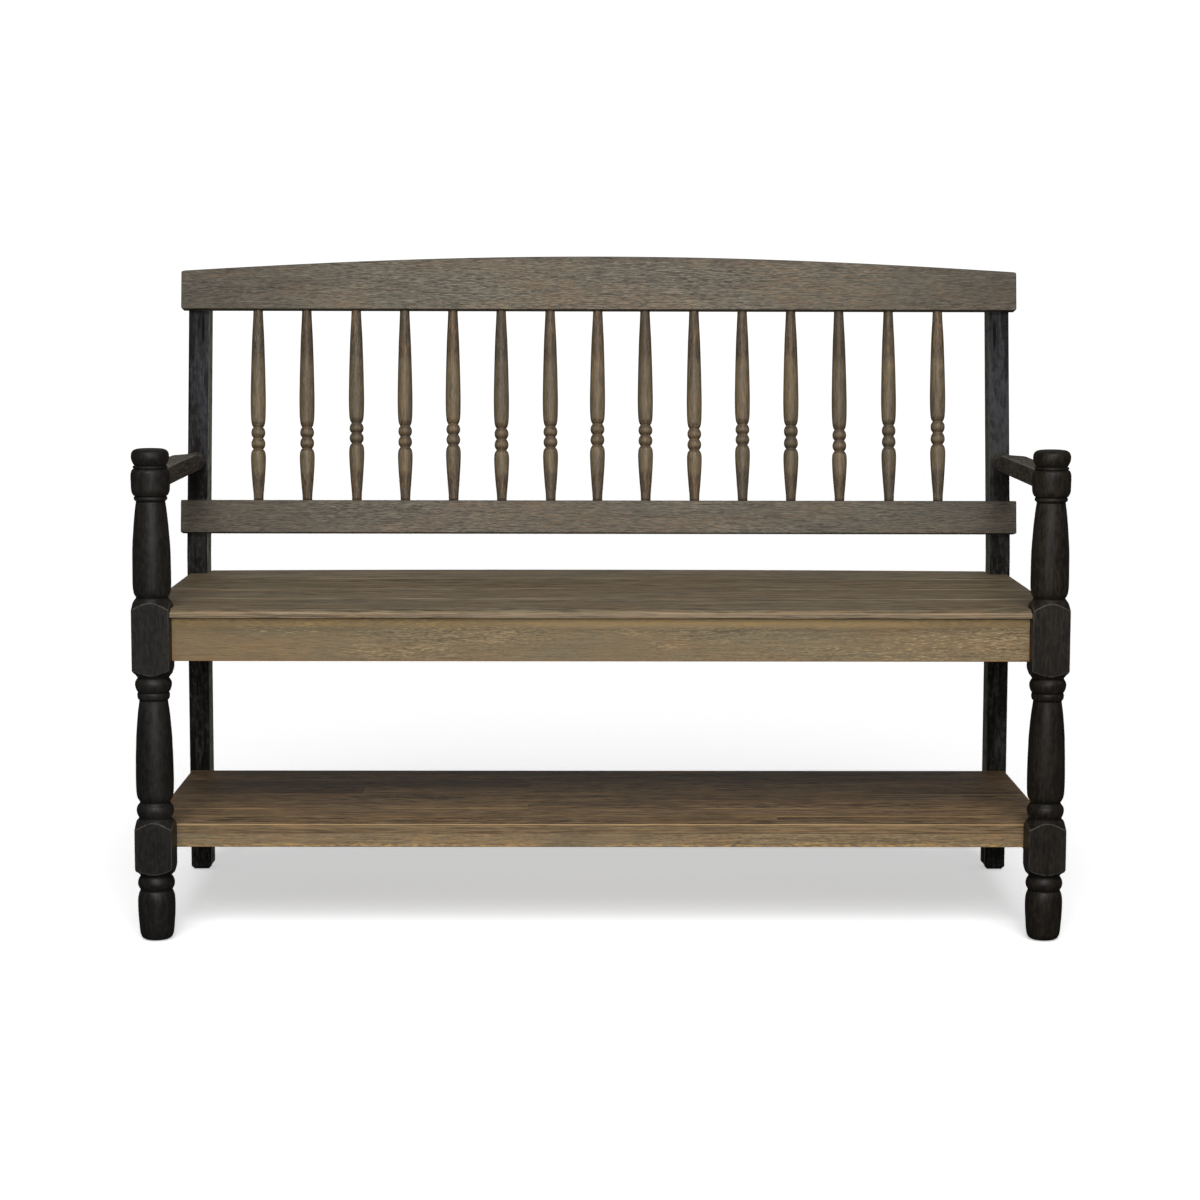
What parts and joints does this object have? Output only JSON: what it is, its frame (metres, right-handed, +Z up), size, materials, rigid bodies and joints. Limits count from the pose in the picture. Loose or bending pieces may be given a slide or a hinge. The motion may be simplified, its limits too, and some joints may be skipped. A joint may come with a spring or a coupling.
{
  "type": "deacons bench",
  "caption": "Wooden bench with turned front legs, arms, a raked spindle back with an arched crest rail, and a storage shelf under the seat.",
  "frame": {"origin": "on the floor, under the middle of the bench's length and depth", "axes": "+Z up, front of the bench faces -Y, +X to the right of someone looking at its front"},
  "size_m": [1.2694, 0.596, 0.9354],
  "materials": {
    "black_wood": "satin black stain, soft vertical grain",
    "weathered_wood": "grey-brown weathered stain with rubbed streaks",
    "seat_wood": "grey-brown weathered stain, satin",
    "golden_wood": "golden-brown weathered stain",
    "raw_wood": "unfinished hardwood",
    "zinc_steel": "zinc plated",
    "glide_plastic": "matte"
  },
  "bodies": {
    "root": {"front_leg_left": "black_wood", "front_leg_right": "black_wood", "back_post_left": "black_wood", "back_post_right": "black_wood", "arm_left": "black_wood", "arm_right": "black_wood", "shelf_side_stretcher_left": "black_wood", "shelf_side_stretcher_right": "black_wood", "crest_rail": "weathered_wood", "lower_back_rail": "weathered_wood", "spindle_01": "weathered_wood", "spindle_02": "weathered_wood", "spindle_03": "weathered_wood", "spindle_04": "weathered_wood", "spindle_05": "weathered_wood", "spindle_06": "weathered_wood", "spindle_07": "weathered_wood", "spindle_08": "weathered_wood", "spindle_09": "weathered_wood", "spindle_10": "weathered_wood", "spindle_11": "weathered_wood", "spindle_12": "weathered_wood", "spindle_13": "weathered_wood", "spindle_14": "weathered_wood", "spindle_15": "weathered_wood", "seat_board": "seat_wood", "front_apron": "golden_wood", "rear_apron": "golden_wood", "seat_side_apron_left": "golden_wood", "seat_side_apron_right": "golden_wood", "shelf_panel": "golden_wood", "shelf_front_rail": "golden_wood", "shelf_rear_rail": "golden_wood", "seat_centre_batten": "raw_wood", "shelf_centre_batten": "raw_wood", "corner_brace_front_left": "raw_wood", "corner_brace_front_right": "raw_wood", "corner_brace_rear_left": "raw_wood", "corner_brace_rear_right": "raw_wood", "hanger_bolt_front_left": "zinc_steel", "hanger_bolt_front_right": "zinc_steel", "hanger_bolt_rear_left": "zinc_steel", "hanger_bolt_rear_right": "zinc_steel", "rail_bolt_lower_left": "zinc_steel", "rail_bolt_lower_right": "zinc_steel", "rail_bolt_crest_left": "zinc_steel", "rail_bolt_crest_right": "zinc_steel", "arm_bolt_left": "zinc_steel", "arm_bolt_right": "zinc_steel", "shelf_screw_front_left": "zinc_steel", "shelf_screw_front_right": "zinc_steel", "shelf_screw_rear_left": "zinc_steel", "shelf_screw_rear_right": "zinc_steel", "foot_glide_front_left": "glide_plastic", "foot_glide_front_right": "glide_plastic", "foot_glide_rear_left": "glide_plastic", "foot_glide_rear_right": "glide_plastic"}
  },
  "joints": []
}
